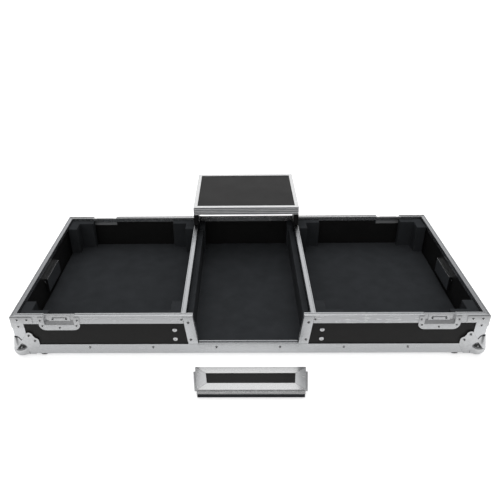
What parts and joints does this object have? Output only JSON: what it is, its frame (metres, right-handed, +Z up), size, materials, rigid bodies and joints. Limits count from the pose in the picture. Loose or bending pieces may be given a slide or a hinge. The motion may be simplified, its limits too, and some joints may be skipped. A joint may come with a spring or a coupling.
{
  "type": "dj coffin case",
  "caption": "Shallow flight case with two side bays, a middle bay with a V-shaped front opening, a gliding platform, drop handles and a lift-out front panel.",
  "frame": {"origin": "on the floor, under the middle of the whole part's box", "axes": "+X along the case to the right seen from the front, +Y from the front to the rear, +Z up"},
  "size_m": [1.2058, 0.8726, 0.1933],
  "materials": {
    "aluminium": "satin, lightly anodised",
    "steel": "bright zinc plate",
    "laminate": "black laminate on birch ply, fine grain",
    "foam": "charcoal foam, matt",
    "rubber": "matt",
    "black_paint": "satin black powder coat"
  },
  "bodies": {
    "case": {"base_board": "laminate", "front_wall": "laminate", "rear_wall": "laminate", "left_end_wall": "laminate", "right_end_wall": "laminate", "left_partition": "laminate", "right_partition": "laminate", "front_left_rim": "aluminium", "front_right_rim": "aluminium", "rear_rim": "aluminium", "left_rim": "aluminium", "right_rim": "aluminium", "left_partition_cap": "aluminium", "right_partition_cap": "aluminium", "opening_sill": "aluminium", "left_opening_trim": "aluminium", "right_opening_trim": "aluminium", "front_bottom_extrusion": "aluminium", "rear_bottom_extrusion": "aluminium", "left_bottom_extrusion": "aluminium", "right_bottom_extrusion": "aluminium", "front_left_corner_extrusion": "aluminium", "front_right_corner_extrusion": "aluminium", "rear_left_corner_extrusion": "aluminium", "rear_right_corner_extrusion": "aluminium", "front_left_ball_corner": "steel", "front_right_ball_corner": "steel", "rear_left_ball_corner": "steel", "rear_right_ball_corner": "steel", "front_left_corner_brace": "steel", "front_right_corner_brace": "steel", "rear_left_corner_brace": "steel", "rear_right_corner_brace": "steel", "front_left_latch_keeper": "steel", "front_right_latch_keeper": "steel", "rear_left_latch_keeper": "steel", "rear_right_latch_keeper": "steel", "front_left_foot": "rubber", "front_right_foot": "rubber", "rear_left_foot": "rubber", "rear_right_foot": "rubber", "left_handle_dish": "steel", "right_handle_dish": "steel", "left_bay_foam": "foam", "right_bay_foam": "foam", "middle_bay_foam": "foam"},
    "platform": {"platform_deck": "laminate", "platform_edge": "aluminium", "left_platform_leg": "laminate", "right_platform_leg": "laminate", "left_glide_bracket": "black_paint", "right_glide_bracket": "black_paint"},
    "front_panel": {"panel_board": "laminate", "panel_bottom_extrusion": "aluminium", "panel_right_extrusion": "aluminium", "panel_top_extrusion": "aluminium", "panel_left_extrusion": "aluminium", "panel_foam_lining": "foam"},
    "left_handle": {"left_handle_bail": "steel"},
    "right_handle": {"right_handle_bail": "steel"}
  },
  "joints": [
    {"name": "platform_glide", "type": "slide", "parent": "case", "child": "platform", "axis": [0, -1, 0], "range_m": [0, 0.2155]},
    {"name": "panel_lift", "type": "slide", "parent": "case", "child": "front_panel", "axis": [0, 0, 1], "range_m": [0, 0.14]},
    {"name": "left_handle_drop", "type": "hinge", "parent": "case", "child": "left_handle", "pos_m": [-0.581, -0.02617, 0.085], "axis": [0, 1, 0], "range_deg": [0, 90], "stiffness_Nm_per_rad": 0.06, "springref_deg": -17.19},
    {"name": "right_handle_drop", "type": "hinge", "parent": "case", "child": "right_handle", "pos_m": [0.581, -0.02617, 0.085], "axis": [0, -1, 0], "range_deg": [0, 90], "stiffness_Nm_per_rad": 0.06, "springref_deg": -17.19}
  ]
}
